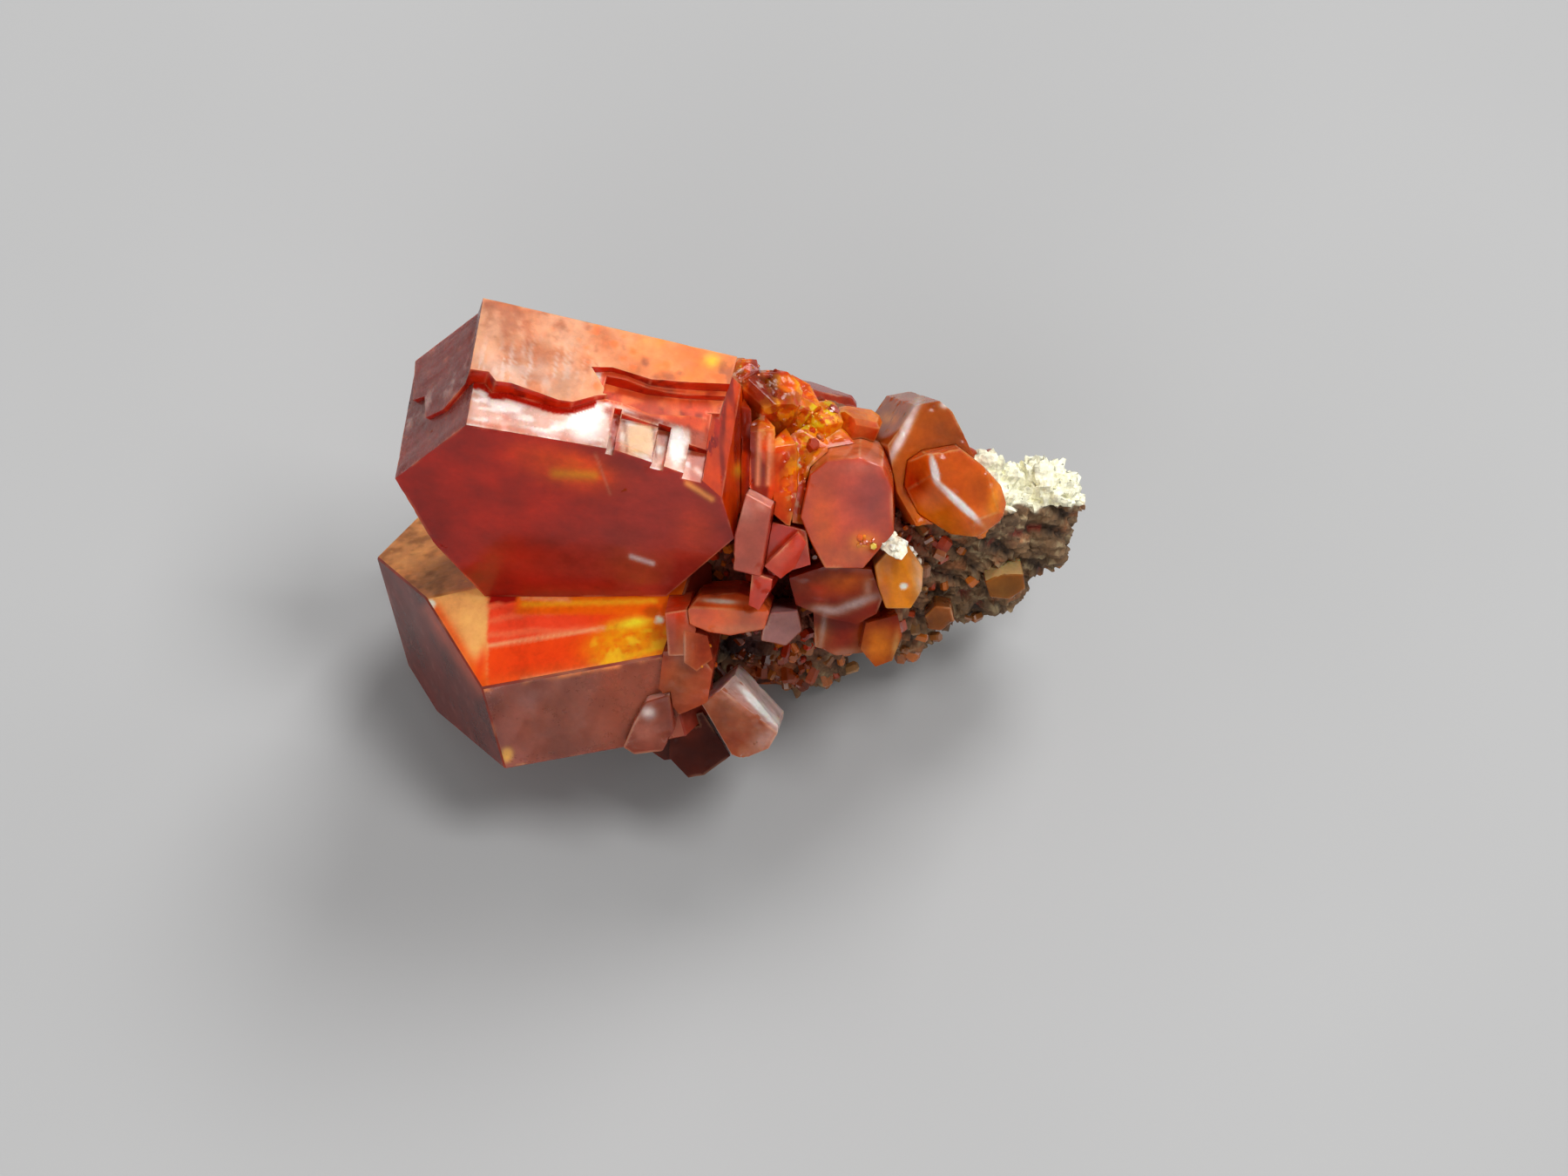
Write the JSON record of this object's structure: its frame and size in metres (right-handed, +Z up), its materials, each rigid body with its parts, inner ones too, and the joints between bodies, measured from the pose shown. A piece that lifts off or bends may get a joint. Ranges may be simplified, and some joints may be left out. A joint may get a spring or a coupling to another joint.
{
  "type": "vanadinite crystal cluster on matrix",
  "caption": "Thick hexagonal red-orange vanadinite crystals, large and small, grown on a small chip of brown rock with a pale crust.",
  "frame": {"origin": "under the middle of the specimen's bounding box, on the surface that it lies on", "axes": "+Z up; +X along the longest extent, from the large crystals towards the bare rock tip; +Y to the rear, away from the side where the large crystal's basal face shows"},
  "size_m": [0.0164, 0.0102, 0.0127],
  "materials": {
    "matrix": "rough brown rock with a pale crust on top",
    "crust": "chalky pale crust",
    "large_crystal": "translucent deep red vanadinite, adamantine gloss",
    "red_crystal": "translucent orange-red vanadinite, glossy",
    "amber_crystal": "translucent amber-orange vanadinite, glossy",
    "dark_crystal": "translucent dark maroon vanadinite, glossy"
  },
  "bodies": {
    "root": {"lower_large_crystal": "large_crystal", "upper_large_crystal": "large_crystal", "bar_crystal": "red_crystal", "plate_crystal": "red_crystal", "lobe_crystal": "amber_crystal", "arched_crystal": "amber_crystal", "tablet_crystal": "red_crystal", "amber_crystal": "amber_crystal", "vee_crystal": "red_crystal", "block_crystal": "red_crystal", "corner_crystal": "red_crystal", "side_crystal_group": "dark_crystal", "foot_crystal_group": "dark_crystal", "mauve_crystal": "red_crystal", "under_plate_group": "dark_crystal", "pale_grain": "crust", "ridge_crystal_group": "amber_crystal", "edge_crystal": "amber_crystal", "edge_crystal_small": "amber_crystal", "rear_crystal_a": "red_crystal", "rear_crystal_b": "red_crystal", "rear_crystal_c": "red_crystal", "matrix_rock": "matrix"}
  },
  "joints": []
}
